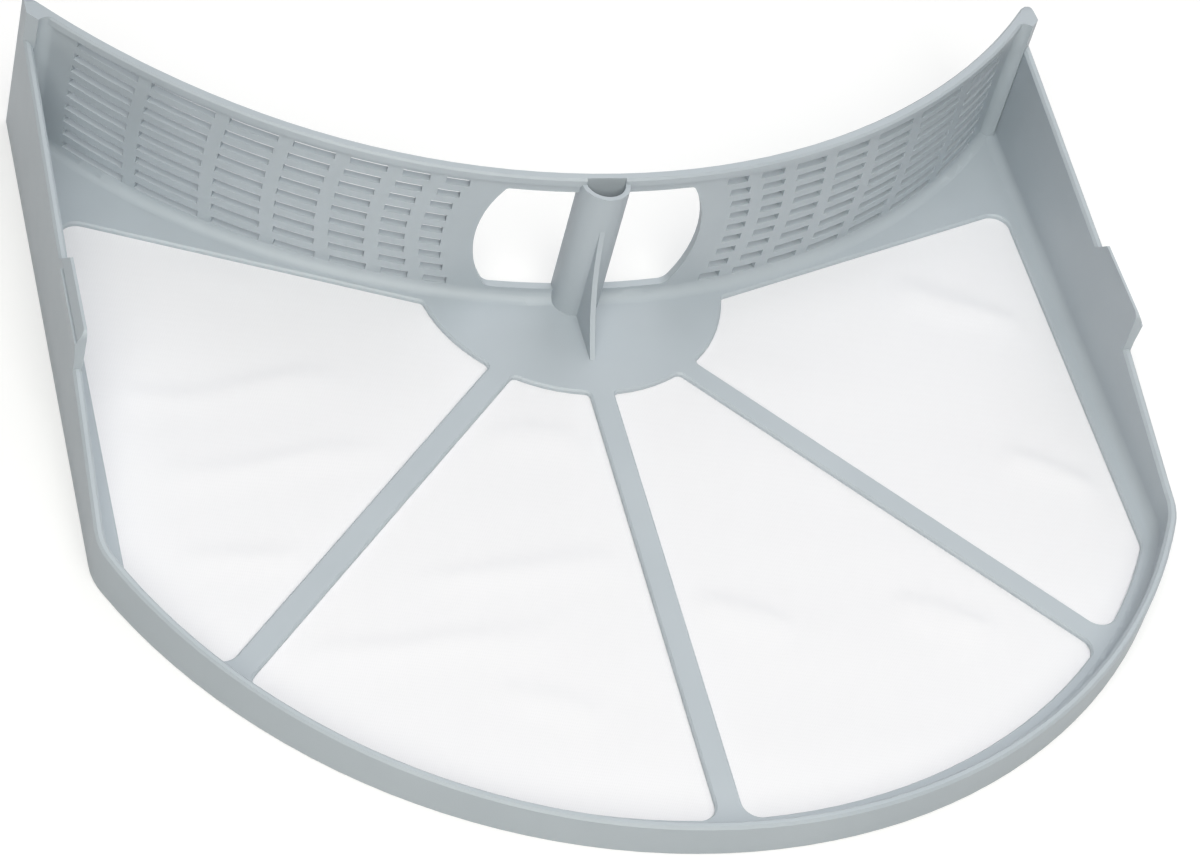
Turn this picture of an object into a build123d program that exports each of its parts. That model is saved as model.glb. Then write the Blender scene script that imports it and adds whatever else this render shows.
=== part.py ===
from build123d import *
from math import cos, radians, sin, sqrt, tan
import os

# Overall sizes, the frame lies on its flat underside with the slotted wall at the back
WIDTH = 302.0
HEIGHT = 49.4
WALL_T = 2.4
PLATE_T = 2.6

# D-shaped outline, straight sides and a round front
FRONT_Y = -136.4
FRONT_BULGE = 98.5
CORNER_R = 20.0

# Slotted wall at the back, an arc that bulges towards the front and falls a little to its ends
WALL_FRONT_Y = 58.4
ARC_R = 188.0
LIP_H = 2.6
LIP_OUT = 0.8
LIP_BEVEL = 0.6
CROWN_BACK = 26.6
END_FALL = 2.8
END_ROUND = 7.0
REAR_ROUND = 1.0
CORNER_WEB = 4.0

# Two finger windows with a hollow half-round post between them
FINGER_R = 32.8
FINGER_HEAD = 5.4
FINGER_SILL = 6.5
FINGER_ROUND = 3.5
FINGER_TOP_ROUND = 1.5
POST_R = 7.0
POST_WALL = 1.4
POST_DROP = 1.8

# Slots, in columns bounded by circles about the middle of the wall
SLOT_LOW = 5.75
SLOT_HEADROOM = 1.2
SLOT_PITCH = 4.65
SLOT_H = 2.3
FINGER_BAR = 9.2
COLUMN_BAR = 4.1
COLUMN_WIDTHS = (6.0, 7.2, 10.0, 11.7, 14.2, 19.7, 20.5)
COLUMN_END = 10.0

# Curved fin that props the post
FIN_T = 1.5
FIN_DROP = 3.9
FIN_BEND_Z = 19.0
FIN_REACH = 24.4

# Side walls fall from the back corners to the low rim at the front
RIM_FRONT = 10.2
RIM_CORNER = 13.2
RIM_BLEND_R = 120.0
SIDE_ANGLE = 4.8
RIM_BEVEL = 0.7
FOLD_ROUND = 3.0

# Latch tabs on the side walls, with a barb that leans outwards
TAB_FRONT_Y = 14.5
TAB_BACK_Y = 47.5
TAB_TOP = 36.8
TAB_LEAD = 5.0
TAB_ROUND = 2.0
TAB_TIP = 0.8
SIDE_AT_TAB_FRONT = 23.4
SIDE_AT_TAB_BACK = 31.4
BARB_OUT = 0.6
BARB_HEAD = 4.0
BARB_RISE = 6.8

# Mesh windows with hub and spokes
SIDE_FLANGE = 8.6
FRONT_FLANGE = 8.8
FIELD_CORNER = 2.9
BACK_LEDGE = 15.6
BACK_LEDGE_ANGLE = 19.5
HUB_R = 45.0
HUB_BACK = 8.6
SPOKE_W = 7.0
SPOKE_DROP = 5.1
SPOKE_ANGLE = 41.3
WINDOW_ROUND = 5.0
HUB_ROUND = 1.8
HUB_CORNERS = 8
EDGE_BEVEL = 0.5

# Mesh sheet moulded into the plate
MESH_Z = 0.8
MESH_T = 0.4
MESH_HOLD = 2.6

# A face counts as a top when its normal points up by more than this
UPWARD = 0.1

# Values that follow from the sizes above
HALF = WIDTH / 2
SIDE_END_Y = FRONT_Y + FRONT_BULGE
ARC_Y = WALL_FRONT_Y + ARC_R
BACK_R = ARC_R - WALL_T
REAR_Y = ARC_Y - sqrt(BACK_R**2 - HALF**2)
CROWN_Y = WALL_FRONT_Y + CROWN_BACK
SIDE_TOP = SIDE_AT_TAB_BACK + (ARC_Y - TAB_BACK_Y) * tan(radians(SIDE_ANGLE))
SLOT_ROWS = int((HEIGHT - LIP_H - SLOT_HEADROOM - SLOT_H - SLOT_LOW) / SLOT_PITCH) + 1
GRILLE_Z = SLOT_LOW + (SLOT_H + (SLOT_ROWS - 1) * SLOT_PITCH) / 2
FINGER_TOP = HEIGHT - FINGER_HEAD
FIN_TOP = HEIGHT - FIN_DROP
FIN_BACK_Y = WALL_FRONT_Y - POST_R + POST_WALL / 2
FIN_FRONT_Y = WALL_FRONT_Y - FIN_REACH
BARB_NOSE = TAB_TOP - BARB_HEAD
BARB_FOOT = BARB_NOSE - BARB_RISE
FIELD_X = HALF - SIDE_FLANGE
FIELD_FRONT_Y = FRONT_Y + FRONT_FLANGE
FIELD_CORNER_Y = SIDE_END_Y - FIELD_CORNER
FIELD_BACK_Y = WALL_FRONT_Y - BACK_LEDGE
FIELD_SIDE_BACK_Y = FIELD_BACK_Y + FIELD_X * tan(radians(BACK_LEDGE_ANGLE))
HUB_Y = WALL_FRONT_Y + HUB_BACK

# Outline of the whole frame, its sides carried on straight behind the wall
with BuildSketch() as outline:
    with BuildLine():
        Polyline((-HALF, SIDE_END_Y), (-HALF, ARC_Y), (HALF, ARC_Y), (HALF, SIDE_END_Y))
        ThreePointArc((HALF, SIDE_END_Y), (0, FRONT_Y), (-HALF, SIDE_END_Y))
    make_face()
    fillet(outline.vertices().group_by(Axis.Y)[0], radius=CORNER_R)

# Plan of the frame, hollowed by the back of the slotted wall, with rounded rear corners
with BuildSketch() as plan:
    add(outline.sketch)
    with Locations((0, ARC_Y)):
        Circle(BACK_R, mode=Mode.SUBTRACT)
    fillet(plan.vertices().group_by(Axis.Y)[-1], radius=REAR_ROUND)

# Inner face of the rim and the side walls
with BuildSketch() as inner:
    add(outline.sketch)
    offset(amount=-WALL_T, mode=Mode.REPLACE)

# Plan of the space in front of the slotted wall, with rounded rear corners
with BuildSketch() as inside:
    add(inner.sketch)
    with Locations((0, ARC_Y)):
        Circle(ARC_R, mode=Mode.SUBTRACT)
    fillet(inside.vertices().group_by(Axis.Y)[-1], radius=FOLD_ROUND)

# Side view of the rim and the side walls
with BuildSketch(Plane.YZ) as side_view:
    with BuildLine():
        Polyline(
            (FRONT_Y, 0),
            (FRONT_Y, RIM_FRONT),
            (SIDE_END_Y, RIM_CORNER),
            (TAB_FRONT_Y, SIDE_AT_TAB_FRONT),
            (TAB_FRONT_Y, TAB_TOP),
            (TAB_BACK_Y - TAB_LEAD, TAB_TOP),
            (TAB_BACK_Y, SIDE_AT_TAB_BACK),
            (ARC_Y, SIDE_TOP),
            (ARC_Y, 0),
            close=True,
        )
    make_face()
    fillet(side_view.vertices().sort_by_distance((SIDE_END_Y, RIM_CORNER, 0))[0], radius=RIM_BLEND_R)
    fillet(side_view.vertices().sort_by_distance((TAB_FRONT_Y, TAB_TOP, 0))[0], radius=TAB_ROUND)

# Side view of the slotted wall, its top falls to rounded ends
with BuildSketch(Plane.YZ) as wall_view:
    with BuildLine():
        Polyline((CROWN_Y, HEIGHT), (0, HEIGHT), (0, 0), (REAR_Y, 0), (REAR_Y, HEIGHT - END_FALL))
        TangentArc((CROWN_Y, HEIGHT), (REAR_Y, HEIGHT - END_FALL), tangent=(1, 0))
    make_face()
    fillet(wall_view.vertices().sort_by_distance((REAR_Y, HEIGHT, 0))[0], radius=END_ROUND)

# Field that the mesh fills
with BuildSketch() as field:
    with BuildLine():
        Polyline(
            (-FIELD_X, FIELD_CORNER_Y),
            (-FIELD_X, FIELD_SIDE_BACK_Y),
            (0, FIELD_BACK_Y),
            (FIELD_X, FIELD_SIDE_BACK_Y),
            (FIELD_X, FIELD_CORNER_Y),
        )
        ThreePointArc((FIELD_X, FIELD_CORNER_Y), (0, FIELD_FRONT_Y), (-FIELD_X, FIELD_CORNER_Y))
    make_face()

# Mesh windows, the field less the hub and the three spokes
with BuildSketch() as windows:
    add(field.sketch)
    with Locations((0, HUB_Y)):
        Circle(HUB_R, mode=Mode.SUBTRACT)
    for angle in (-SPOKE_ANGLE, 0, SPOKE_ANGLE):
        with Locations(Location((0, HUB_Y - SPOKE_DROP, 0), (0, 0, angle))):
            Rectangle(SPOKE_W, WIDTH, align=(Align.CENTER, Align.MAX), mode=Mode.SUBTRACT)
    corners = windows.vertices().sort_by_distance((0, HUB_Y, 0))
    fillet(corners[:HUB_CORNERS], radius=HUB_ROUND)
    corners = windows.vertices().sort_by_distance((0, HUB_Y, 0))
    fillet(corners[2 * HUB_CORNERS:], radius=WINDOW_ROUND)

# Mesh sheet, one piece behind all four windows
with BuildPart() as mesh:
    with BuildSketch(Plane.XY.offset(MESH_Z)):
        add(field.sketch)
        offset(amount=MESH_HOLD, mode=Mode.REPLACE)
        with Locations((0, HUB_Y)):
            Circle(HUB_R - MESH_HOLD, mode=Mode.SUBTRACT)
    extrude(amount=MESH_T)

# Hollow of the tray, rounded at its foot
with BuildPart() as hollow:
    with BuildSketch(Plane.XY.offset(PLATE_T)):
        add(inner.sketch)
    extrude(amount=SIDE_TOP)
    fillet(hollow.edges().group_by(Axis.Z)[0].sort_by(Axis.Y)[:-1], radius=FOLD_ROUND)

# Tray with the low front rim and the side walls, moulded round the mesh
with BuildPart() as tray:
    extrude(outline.sketch, amount=SIDE_TOP)
    extrude(side_view.sketch, amount=HALF, both=True, mode=Mode.INTERSECT)
    add(hollow.part, mode=Mode.SUBTRACT)
    tops = tray.faces().filter_by(lambda face: face.normal_at().Z > UPWARD)
    rim_tops = tops.filter_by(lambda face: face.center().Z > PLATE_T + FOLD_ROUND)
    rim_edges = rim_tops.edges().filter_by(Axis.X, reverse=True)
    tab_edges = rim_edges.filter_by_position(Axis.Y, TAB_FRONT_Y, TAB_BACK_Y)
    chamfer(rim_edges - tab_edges, length=RIM_BEVEL)
    extrude(windows.sketch, amount=PLATE_T, mode=Mode.SUBTRACT)
    floor = tray.faces().filter_by(Plane.XY).filter_by_position(Axis.Z, PLATE_T, PLATE_T)[0]
    chamfer(floor.inner_wires().edges(), length=EDGE_BEVEL)
    extrude(plan.sketch, amount=SIDE_TOP, mode=Mode.INTERSECT)

    # Barbs on the latch tabs, sloped at the top
    with BuildSketch(Plane.XZ.offset(-TAB_FRONT_Y)):
        for side in (-1, 1):
            Polygon(
                (side * HALF, BARB_FOOT),
                (side * (HALF + BARB_OUT), BARB_NOSE),
                (side * (HALF - WALL_T / 2), BARB_NOSE),
                (side * (HALF - WALL_T / 2), BARB_FOOT),
                align=None,
            )
    extrude(amount=TAB_FRONT_Y + TAB_LEAD - TAB_BACK_Y)
    with BuildSketch(Plane.XZ.offset(-TAB_FRONT_Y)):
        for side in (-1, 1):
            Polygon(
                (side * (HALF - WALL_T + TAB_TIP), TAB_TOP),
                (side * (HALF + BARB_OUT), BARB_NOSE),
                (side * (HALF + BARB_OUT), TAB_TOP),
                align=None,
            )
    extrude(amount=TAB_FRONT_Y - TAB_BACK_Y, mode=Mode.SUBTRACT)

# Space under the lip, in front of the slotted face
with BuildPart() as under_lip:
    with BuildSketch():
        with Locations((0, ARC_Y)):
            Circle(ARC_R + 2 * LIP_OUT)
            Circle(ARC_R, mode=Mode.SUBTRACT)
    extrude(amount=HEIGHT)
    with BuildSketch(Plane.YZ):
        with Locations((0, -LIP_H)):
            add(wall_view.sketch_local)
    extrude(amount=WIDTH, both=True, mode=Mode.INTERSECT)

# Rounded fold between the slotted wall and the plate
with BuildPart() as fold:
    with BuildSketch(Plane.XZ.offset(-ARC_Y)):
        with Locations((ARC_R - WALL_T / 2, PLATE_T / 2)):
            Rectangle(FOLD_ROUND + WALL_T / 2, FOLD_ROUND + PLATE_T / 2, align=Align.MIN)
        with Locations((ARC_R + FOLD_ROUND, PLATE_T + FOLD_ROUND)):
            Circle(FOLD_ROUND, mode=Mode.SUBTRACT)
    revolve(axis=Axis((0, ARC_Y, 0), (0, 0, 1)))

# Webs in the acute corners between the slotted wall and the side walls
with BuildPart() as webs:
    with BuildSketch():
        with Locations((0, ARC_Y)):
            Circle(ARC_R + CORNER_WEB)
            Circle(ARC_R - WALL_T / 2, mode=Mode.SUBTRACT)
        add(plan.sketch, mode=Mode.INTERSECT)
        add(inside.sketch, mode=Mode.SUBTRACT)
    extrude(amount=HEIGHT)
    extrude(wall_view.sketch, amount=WIDTH, both=True, mode=Mode.INTERSECT)

# Columns of slots that fit on each half of the wall
columns = []
column_start = FINGER_R + FINGER_BAR
for column_width in COLUMN_WIDTHS:
    column_stop = column_start + column_width
    if ARC_R * sin((column_stop + COLUMN_END) / ARC_R) < HALF:
        columns.append((column_start, column_stop))
    column_start = column_stop + COLUMN_BAR

# Slotted wall with its lip and finger windows, cut to the plan once the lip is bevelled
with BuildPart() as wall:
    with BuildSketch():
        with Locations((0, ARC_Y)):
            Circle(ARC_R + LIP_OUT)
            Circle(BACK_R, mode=Mode.SUBTRACT)
    extrude(amount=HEIGHT)
    extrude(wall_view.sketch, amount=WIDTH, both=True, mode=Mode.INTERSECT)
    add(under_lip.part, mode=Mode.SUBTRACT)
    crest = wall.faces().filter_by(lambda face: face.normal_at().Z > UPWARD)
    chamfer(crest.edges().filter_by(lambda edge: edge.length > HEIGHT), length=LIP_BEVEL)
    add(fold.part)
    extrude(plan.sketch, amount=HEIGHT, mode=Mode.INTERSECT)
    add(webs.part)
    for row in range(SLOT_ROWS):
        slot_z = SLOT_LOW + row * SLOT_PITCH
        rise = slot_z + SLOT_H / 2 - GRILLE_Z
        with BuildSketch(Plane.XY.offset(slot_z)):
            for column in columns:
                near, far = [sqrt(edge**2 - rise**2) / ARC_R for edge in column]
                for side in (-1, 1):
                    corners = [
                        (BACK_R - WALL_T, side * near),
                        (BACK_R - WALL_T, side * far),
                        (ARC_R + WALL_T, side * far),
                        (ARC_R + WALL_T, side * near),
                    ]
                    Polygon(*[(r * sin(a), ARC_Y - r * cos(a)) for r, a in corners], align=None)
        extrude(amount=SLOT_H, mode=Mode.SUBTRACT)
    with BuildSketch(Plane.XZ.offset(-WALL_FRONT_Y)) as fingers:
        with Locations((0, GRILLE_Z)):
            Circle(FINGER_R)
        with Locations((0, FINGER_SILL)):
            Rectangle(WIDTH, FINGER_TOP - FINGER_SILL, align=(Align.CENTER, Align.MIN), mode=Mode.INTERSECT)
        Rectangle(2 * POST_R, WIDTH, mode=Mode.SUBTRACT)
        outer = fingers.vertices().filter_by(lambda vertex: abs(vertex.X) > POST_R + WALL_T)
        fillet(outer.group_by(Axis.Y)[0], radius=FINGER_ROUND)
        outer = fingers.vertices().filter_by(lambda vertex: abs(vertex.X) > POST_R + WALL_T)
        fillet(outer.group_by(Axis.Y)[-1], radius=FINGER_TOP_ROUND)
    extrude(amount=POST_R, both=True, mode=Mode.SUBTRACT)

# Whole frame in one moulding
with BuildPart() as frame:
    add(tray.part)
    add(wall.part)

    # Groove that holds the edge of the mesh
    add(mesh.part, mode=Mode.SUBTRACT)

    # Half-round post, hollow down to the plate
    with BuildSketch():
        with Locations((0, WALL_FRONT_Y)):
            Circle(POST_R)
            Rectangle(2 * POST_R, POST_R, align=(Align.CENTER, Align.MIN), mode=Mode.SUBTRACT)
            Rectangle(2 * POST_R, WALL_T / 2, align=(Align.CENTER, Align.MIN))
    extrude(amount=HEIGHT - POST_DROP)
    with BuildSketch(Plane.XY.offset(PLATE_T)):
        with Locations((0, WALL_FRONT_Y)):
            Circle(POST_R - POST_WALL)
            Rectangle(2 * POST_R, POST_R, align=(Align.CENTER, Align.MIN), mode=Mode.SUBTRACT)
    extrude(amount=HEIGHT, mode=Mode.SUBTRACT)

    # Fin from the post down to the hub
    with BuildSketch(Plane.YZ):
        with BuildLine():
            Bezier((FIN_BACK_Y, FIN_TOP), (FIN_BACK_Y, FIN_BEND_Z), (FIN_FRONT_Y, PLATE_T))
            Polyline((FIN_FRONT_Y, PLATE_T), (FIN_BACK_Y, PLATE_T), (FIN_BACK_Y, FIN_TOP))
        make_face()
    extrude(amount=FIN_T / 2, both=True)

frame.part.label = "frame"
mesh.part.label = "mesh"
os.makedirs("parts", exist_ok=True)
export_step(frame.part, "parts/frame.step")
export_step(mesh.part, "parts/mesh.step")
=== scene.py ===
from math import cos, exp, pi, radians, sin
import bmesh
import bpy
from mathutils import Matrix, Vector, noise
from mathutils.bvhtree import BVHTree


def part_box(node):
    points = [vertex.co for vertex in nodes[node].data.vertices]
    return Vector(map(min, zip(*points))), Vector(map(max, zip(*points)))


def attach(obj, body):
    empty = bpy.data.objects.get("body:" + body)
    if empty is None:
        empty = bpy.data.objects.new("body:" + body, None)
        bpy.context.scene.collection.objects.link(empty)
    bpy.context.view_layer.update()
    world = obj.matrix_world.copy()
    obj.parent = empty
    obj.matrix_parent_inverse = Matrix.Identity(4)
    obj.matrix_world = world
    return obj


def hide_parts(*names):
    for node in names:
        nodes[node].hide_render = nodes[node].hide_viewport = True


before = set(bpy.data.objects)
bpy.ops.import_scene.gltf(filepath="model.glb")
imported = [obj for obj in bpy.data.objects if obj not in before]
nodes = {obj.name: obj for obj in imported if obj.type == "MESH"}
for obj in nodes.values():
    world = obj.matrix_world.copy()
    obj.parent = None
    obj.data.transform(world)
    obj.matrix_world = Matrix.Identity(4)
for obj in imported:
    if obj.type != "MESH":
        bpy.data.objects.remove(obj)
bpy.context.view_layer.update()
scene = bpy.context.scene

# Camera at the angle of the photograph, with lens and sensor in millimetres and the rest in metres
CAM_LENS = 120.535
CAM_SENSOR = 36.0
CAM_AZIMUTH = radians(-24.756)
CAM_ELEVATION = radians(44.428)
CAM_ROLL = radians(16.464)
CAM_DISTANCE = 1.105946
CAM_TARGET = Vector((-0.003034, 0.009390, 0.0))
CAM_NEAR = 0.05
CAM_FAR = 20.0

# Satin moulded plastic, a fine even grain with slight clouds of tone and gloss
PLASTIC_TONES = [(0.30, (0.448, 0.497, 0.537)), (0.70, (0.474, 0.523, 0.563))]
PLASTIC_IOR = 1.48
CLOUD_SCALE = 28.0
GLOSS_SCALE = 90.0
ROUGHNESS_LOW = 0.40
ROUGHNESS_HIGH = 0.52
GRAIN_SCALE = 2200.0
GRAIN_STRENGTH = 0.06
GRAIN_DEPTH = 0.0002

# Woven mesh fabric, two sets of fine threads that cross
THREAD_PITCH = 0.00045
BANDS_PER_UNIT = 20 / (2 * pi)
FABRIC_TONES = [(0.10, (0.81, 0.809, 0.838)), (0.75, (0.885, 0.882, 0.908))]
FABRIC_ROUGHNESS = 0.75
FABRIC_SHEEN = 0.15
WEAVE_STRENGTH = 0.15
WEAVE_DEPTH = 0.0001

# Mesh sheet, stretched over the windows, in squares of one step
SHEET_STEP = 0.0016
SHEET_THICK = 0.0003
MERGE = 1e-6
UPWARD = 0.9

# Soft folds where the sheet is slack, each from a start to a stop with its own rise
FOLD_CLEAR = 0.0005
FOLD_FULL = 0.010
FOLD_FRONT = 0.0065
FOLD_BACK = 0.0038
FOLD_RISE = 0.0006
DEEP_RISE = 0.0009
FOLDS = [
    ((-0.132, -0.004), (-0.061, 0.003), FOLD_RISE),
    ((-0.139, 0.024), (-0.071, 0.031), FOLD_RISE),
    ((-0.127, -0.033), (-0.093, -0.035), FOLD_RISE),
    ((-0.067, -0.042), (-0.002, -0.038), FOLD_RISE),
    ((-0.103, -0.068), (-0.029, -0.064), FOLD_RISE),
    ((-0.037, 0.006), (-0.009, 0.006), FOLD_RISE),
    ((-0.053, -0.082), (-0.023, -0.090), FOLD_RISE),
    ((0.008, -0.052), (0.034, -0.066), DEEP_RISE),
    ((0.064, -0.055), (0.091, -0.069), DEEP_RISE),
    ((0.098, 0.064), (0.132, 0.044), DEEP_RISE),
    ((0.111, -0.004), (0.138, -0.018), DEEP_RISE),
]

# Slow waves of the whole sheet, and the wander of each fold's line
SLACK_RISE = 0.0004
SLACK_SCALE_X = 14
SLACK_SCALE_Y = 42
SLACK_SEED = 0.3
WANDER = 0.004
WANDER_SCALE = 40
WANDER_SEED = 1.7

# Pale floor that looks white and still shows the shadow
FLOOR_REACH = 6.0
FLOOR_DROP = 0.0002
FLOOR_GREY = 0.62
FLOOR_ROUGHNESS = 0.9
FLOOR_LIFT = 0.42

# Soft studio light, a dim even surround and three wide lamps, in front, above and behind
SURROUND = 0.20
WHITE = (1.0, 1.0, 1.0, 1.0)
WARM = (1.0, 0.99, 0.92)
COOL = (0.95, 0.965, 1.0)
LAMP_AWAY = 2.0
LAMP_WIDE = 2.0
LAMPS = [
    ("front_lamp", radians(-17), radians(50), 32.0, WARM),
    ("top_lamp", radians(0), radians(88), 10.5, COOL),
    ("back_lamp", radians(140), radians(38), 12.5, COOL),
]


def towards(azimuth, elevation):
    """Unit vector from the origin, with azimuth 0 along -Y and 90 degrees along +X."""
    return Vector((sin(azimuth) * cos(elevation), -cos(azimuth) * cos(elevation), sin(elevation)))


def add_camera():
    """Camera that looks at its target from the angle of the photograph."""
    back = towards(CAM_AZIMUTH, CAM_ELEVATION)
    level = (-back).cross(Vector((0, 0, 1))).normalized()
    upright = level.cross(-back)
    right = level * cos(CAM_ROLL) + upright * sin(CAM_ROLL)
    above = upright * cos(CAM_ROLL) - level * sin(CAM_ROLL)
    turn = Matrix((right, above, back)).transposed()
    camera = bpy.data.objects.new("camera", bpy.data.cameras.new("camera"))
    camera.data.lens = CAM_LENS
    camera.data.sensor_width = CAM_SENSOR
    camera.data.clip_start = CAM_NEAR
    camera.data.clip_end = CAM_FAR
    camera.matrix_world = Matrix.Translation(CAM_TARGET + back * CAM_DISTANCE) @ turn.to_4x4()
    scene.collection.objects.link(camera)
    scene.camera = camera


def material(name):
    """A new node material, its nodes, its links and its Principled shader's inputs."""
    made = bpy.data.materials.new(name)
    made.use_nodes = True
    tree = made.node_tree
    return made, tree.nodes, tree.links, tree.nodes["Principled BSDF"].inputs


def noise_node(tree_nodes, links, coords, scale, detail, roughness):
    """Noise over the object's own coordinates."""
    made = tree_nodes.new("ShaderNodeTexNoise")
    made.inputs["Scale"].default_value = scale
    made.inputs["Detail"].default_value = detail
    made.inputs["Roughness"].default_value = roughness
    links.new(coords.outputs["Object"], made.inputs["Vector"])
    return made.outputs["Fac"]


def ramp_node(tree_nodes, links, source, stops):
    """Colours between two stops, each a position and its colour."""
    made = tree_nodes.new("ShaderNodeValToRGB")
    for element, (position, colour) in zip(made.color_ramp.elements, stops):
        element.position = position
        element.color = (*colour, 1.0)
    links.new(source, made.inputs["Fac"])
    return made.outputs["Color"]


def bump_node(tree_nodes, links, height, strength, depth):
    """Normals that follow a height."""
    made = tree_nodes.new("ShaderNodeBump")
    made.inputs["Strength"].default_value = strength
    made.inputs["Distance"].default_value = depth
    links.new(height, made.inputs["Height"])
    return made.outputs["Normal"]


def math_node(tree_nodes, links, operation, first, second):
    """A math node whose second input is a socket or a number."""
    made = tree_nodes.new("ShaderNodeMath")
    made.operation = operation
    links.new(first, made.inputs[0])
    if isinstance(second, float):
        made.inputs[1].default_value = second
    else:
        links.new(second, made.inputs[1])
    return made.outputs["Value"]


def plastic_material():
    """Satin moulded plastic."""
    plastic, tree_nodes, links, shader = material("plastic")
    coords = tree_nodes.new("ShaderNodeTexCoord")
    clouds = noise_node(tree_nodes, links, coords, CLOUD_SCALE, detail=3.0, roughness=0.55)
    tone = ramp_node(tree_nodes, links, clouds, PLASTIC_TONES)
    links.new(tone, shader["Base Color"])
    gloss = noise_node(tree_nodes, links, coords, GLOSS_SCALE, detail=4.0, roughness=0.6)
    gloss_range = tree_nodes.new("ShaderNodeMapRange")
    gloss_range.inputs["To Min"].default_value = ROUGHNESS_LOW
    gloss_range.inputs["To Max"].default_value = ROUGHNESS_HIGH
    links.new(gloss, gloss_range.inputs["Value"])
    links.new(gloss_range.outputs["Result"], shader["Roughness"])
    grain = noise_node(tree_nodes, links, coords, GRAIN_SCALE, detail=2.0, roughness=0.5)
    links.new(bump_node(tree_nodes, links, grain, GRAIN_STRENGTH, GRAIN_DEPTH), shader["Normal"])
    shader["IOR"].default_value = PLASTIC_IOR
    return plastic


def fabric_material():
    """Fine white weave, darker in the gaps between its threads."""
    fabric, tree_nodes, links, shader = material("mesh_fabric")
    coords = tree_nodes.new("ShaderNodeTexCoord")
    threads = []
    for direction in ("X", "Y"):
        wave = tree_nodes.new("ShaderNodeTexWave")
        wave.wave_type = "BANDS"
        wave.bands_direction = direction
        wave.inputs["Scale"].default_value = 1 / (BANDS_PER_UNIT * THREAD_PITCH)
        links.new(coords.outputs["Object"], wave.inputs["Vector"])
        threads.append(wave.outputs["Fac"])
    weave = math_node(tree_nodes, links, "MAXIMUM", *threads)
    tone = ramp_node(tree_nodes, links, weave, FABRIC_TONES)
    links.new(tone, shader["Base Color"])
    links.new(bump_node(tree_nodes, links, weave, WEAVE_STRENGTH, WEAVE_DEPTH), shader["Normal"])
    shader["Roughness"].default_value = FABRIC_ROUGHNESS
    shader["Sheen Weight"].default_value = FABRIC_SHEEN
    return fabric


def fold_height(x, y):
    """Rise of the slack sheet at one place, a low ridge along each fold that dies out at its ends."""
    place = Vector((x, y))
    height = SLACK_RISE * noise.noise(Vector((x * SLACK_SCALE_X, y * SLACK_SCALE_Y, SLACK_SEED)))
    for start, stop, rise in FOLDS:
        run = Vector(stop) - Vector(start)
        along = (place - Vector(start)).dot(run) / run.length_squared
        if 0 < along < 1:
            across = run.cross(place - Vector(start)) / run.length
            across += WANDER * noise.noise(Vector((x * WANDER_SCALE, y * WANDER_SCALE, WANDER_SEED)))
            width = FOLD_BACK if across > 0 else FOLD_FRONT
            height += rise * (1 - (2 * along - 1) ** 4) * exp(-((across / width) ** 2))
    return height


def slack_share(gap):
    """Share of its height that a fold has at this gap from the plastic, which holds the sheet flat."""
    share = min(max((gap - FOLD_CLEAR) / (FOLD_FULL - FOLD_CLEAR), 0.0), 1.0)
    return share * share * (3 - 2 * share)


def sheet_grid(low, high):
    """Upper face of the solid mesh as one layer, cut into squares."""
    grid = bmesh.new()
    grid.from_mesh(nodes["mesh"].data)
    bmesh.ops.remove_doubles(grid, verts=grid.verts, dist=MERGE)
    others = [face for face in grid.faces if face.normal.z < UPWARD]
    bmesh.ops.delete(grid, geom=others, context="FACES")
    bmesh.ops.dissolve_faces(grid, faces=grid.faces[:])
    for axis, normal in ((0, Vector((1, 0, 0))), (1, Vector((0, 1, 0)))):
        for count in range(1, int((high[axis] - low[axis]) / SHEET_STEP) + 1):
            geometry = grid.verts[:] + grid.edges[:] + grid.faces[:]
            place = normal * (low[axis] + count * SHEET_STEP)
            bmesh.ops.bisect_plane(grid, geom=geometry, dist=MERGE, plane_co=place, plane_no=normal)
    return grid


def add_mesh_sheet():
    """Woven sheet in the place of the solid mesh, with its folds clear of the plastic."""
    low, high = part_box("mesh")
    grid = sheet_grid(low, high)
    frame_tree = BVHTree.FromPolygons(
        [vertex.co for vertex in nodes["frame"].data.vertices],
        [polygon.vertices for polygon in nodes["frame"].data.polygons],
    )
    for vertex in grid.verts:
        vertex.co.z = (low.z + high.z) / 2
        gap = frame_tree.find_nearest(vertex.co)[3]
        vertex.co.z += slack_share(gap) * fold_height(vertex.co.x, vertex.co.y)
    sheet = bpy.data.objects.new("mesh_sheet", bpy.data.meshes.new("mesh_sheet"))
    grid.to_mesh(sheet.data)
    grid.free()
    sheet.data.polygons.foreach_set("use_smooth", [True] * len(sheet.data.polygons))
    sheet.data.materials.append(fabric_material())
    scene.collection.objects.link(sheet)
    thick = sheet.modifiers.new("thick", "SOLIDIFY")
    thick.thickness = SHEET_THICK
    thick.offset = 0.0
    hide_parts("mesh")
    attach(sheet, "root")


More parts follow.
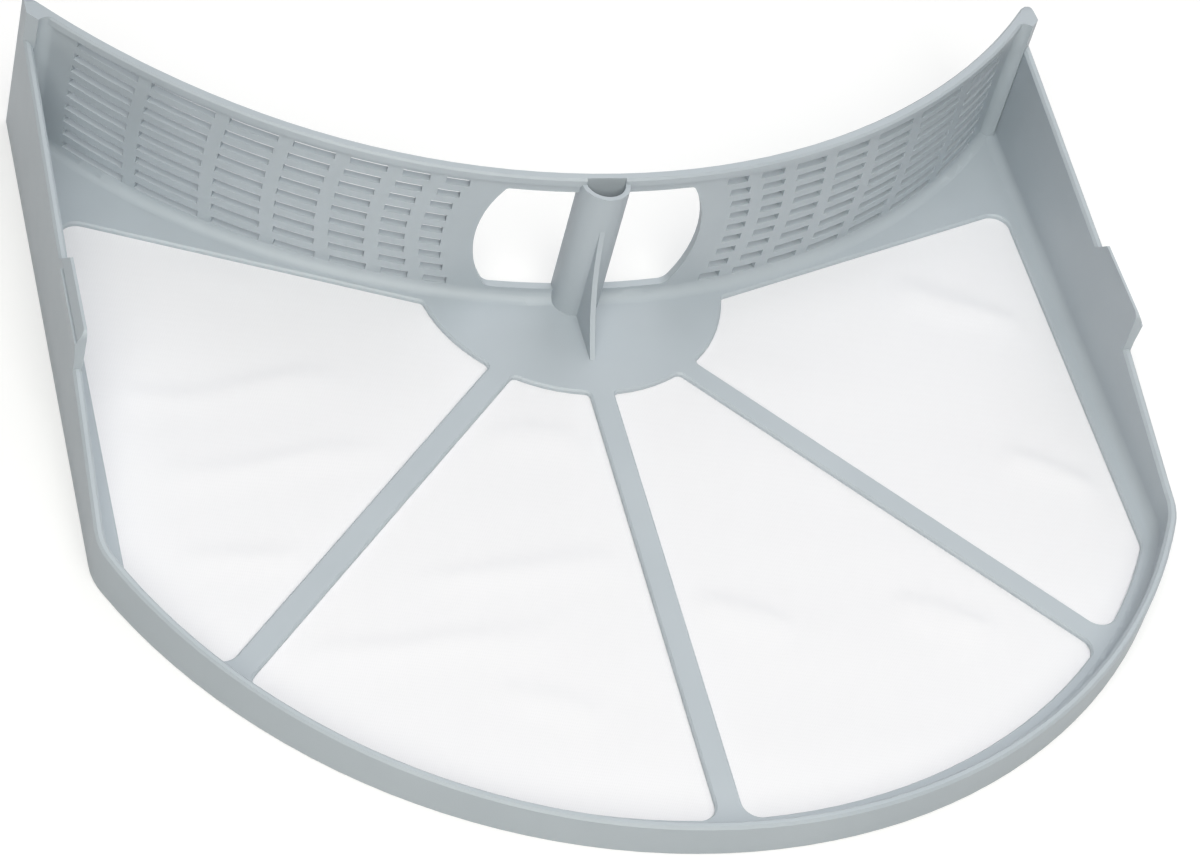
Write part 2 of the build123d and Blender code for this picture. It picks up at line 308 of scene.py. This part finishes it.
def floor_material():
    """Matt grey that is lifted to white where it is seen, and not where it lights the part."""
    paint, tree_nodes, links, shader = material("floor_paint")
    shader["Base Color"].default_value = (FLOOR_GREY, FLOOR_GREY, FLOOR_GREY, 1.0)
    shader["Roughness"].default_value = FLOOR_ROUGHNESS
    shader["Specular IOR Level"].default_value = 0.0
    shader["Emission Color"].default_value = WHITE
    rays = tree_nodes.new("ShaderNodeLightPath").outputs
    seen = math_node(tree_nodes, links, "MAXIMUM", rays["Is Camera Ray"], rays["Is Glossy Ray"])
    seen = math_node(tree_nodes, links, "MAXIMUM", seen, rays["Is Transmission Ray"])
    links.new(math_node(tree_nodes, links, "MULTIPLY", seen, FLOOR_LIFT), shader["Emission Strength"])
    return paint


def add_floor():
    """Wide floor just under the part."""
    grid = bmesh.new()
    bmesh.ops.create_grid(grid, x_segments=1, y_segments=1, size=FLOOR_REACH)
    floor = bpy.data.objects.new("floor", bpy.data.meshes.new("floor"))
    grid.to_mesh(floor.data)
    grid.free()
    floor.location.z = -FLOOR_DROP
    floor.data.materials.append(floor_material())
    scene.collection.objects.link(floor)


def add_lights():
    """Even surround, and the lamps turned to the part."""
    scene.world = bpy.data.worlds.new("surround")
    scene.world.use_nodes = True
    surround = scene.world.node_tree.nodes["Background"]
    surround.inputs["Color"].default_value = WHITE
    surround.inputs["Strength"].default_value = SURROUND
    for name, azimuth, elevation, power, tint in LAMPS:
        lamp = bpy.data.objects.new(name, bpy.data.lights.new(name, "AREA"))
        lamp.data.shape = "DISK"
        lamp.data.size = LAMP_WIDE
        lamp.data.energy = power
        lamp.data.color = tint
        lamp.location = LAMP_AWAY * towards(azimuth, elevation)
        lamp.rotation_mode = "QUATERNION"
        lamp.rotation_quaternion = (-lamp.location).to_track_quat("-Z", "Y")
        scene.collection.objects.link(lamp)


add_camera()
nodes["frame"].data.materials.clear()
nodes["frame"].data.materials.append(plastic_material())
add_mesh_sheet()
add_floor()
add_lights()
scene.view_settings.view_transform = "Standard"
